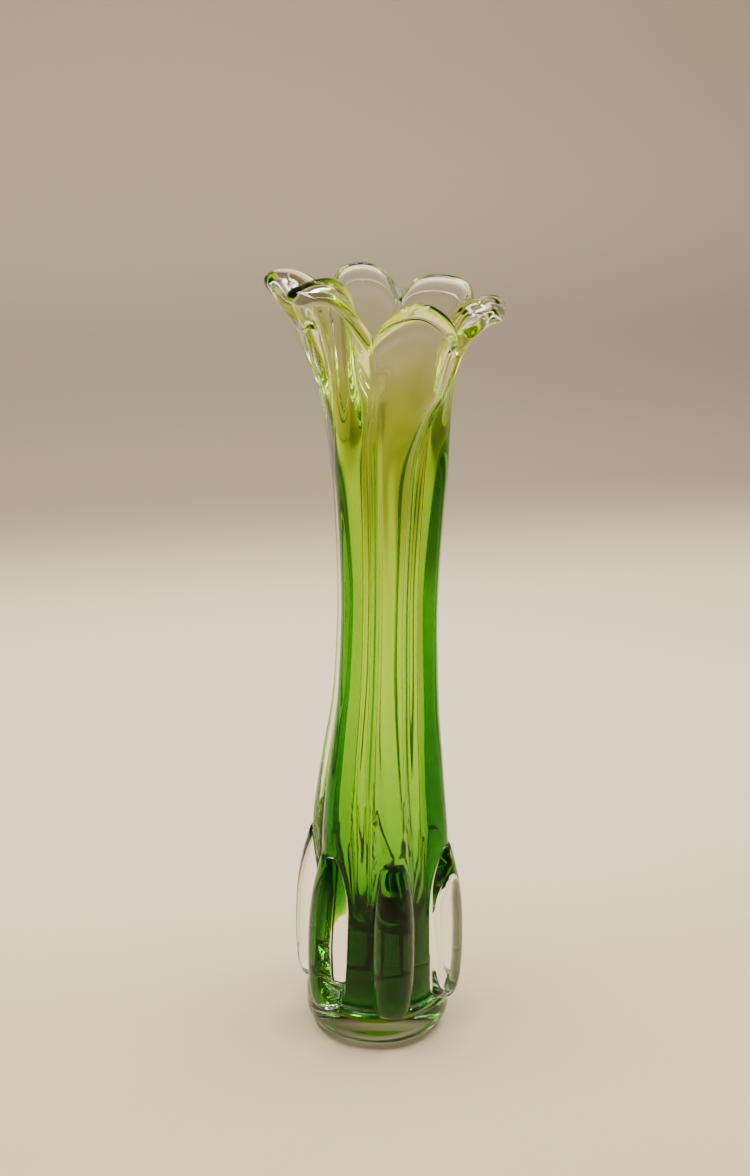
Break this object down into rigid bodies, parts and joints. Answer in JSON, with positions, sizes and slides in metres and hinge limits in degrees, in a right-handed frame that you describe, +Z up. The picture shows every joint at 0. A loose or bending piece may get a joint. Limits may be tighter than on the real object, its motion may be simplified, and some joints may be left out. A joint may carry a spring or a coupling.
{
  "type": "bud vase",
  "caption": "Slim cased-glass bud vase with a green core, ribbed waist, lobed base, thick round foot and a flared petalled mouth.",
  "frame": {"origin": "centre of the foot's flat underside", "axes": "+Z up along the vase, towards the mouth; -Y towards the front rib and petal; +X to the right seen from the front"},
  "size_m": [0.0698, 0.0687, 0.2555],
  "materials": {
    "green_glass": "transparent green, fire-polished",
    "clear_glass": "clear, fire-polished"
  },
  "bodies": {
    "root": {"green_core": "green_glass", "clear_casing": "clear_glass", "base_lobe_1": "clear_glass", "base_lobe_2": "clear_glass", "base_lobe_3": "clear_glass", "base_lobe_4": "clear_glass", "base_lobe_5": "clear_glass", "base_lobe_6": "clear_glass", "foot": "clear_glass"}
  },
  "joints": []
}
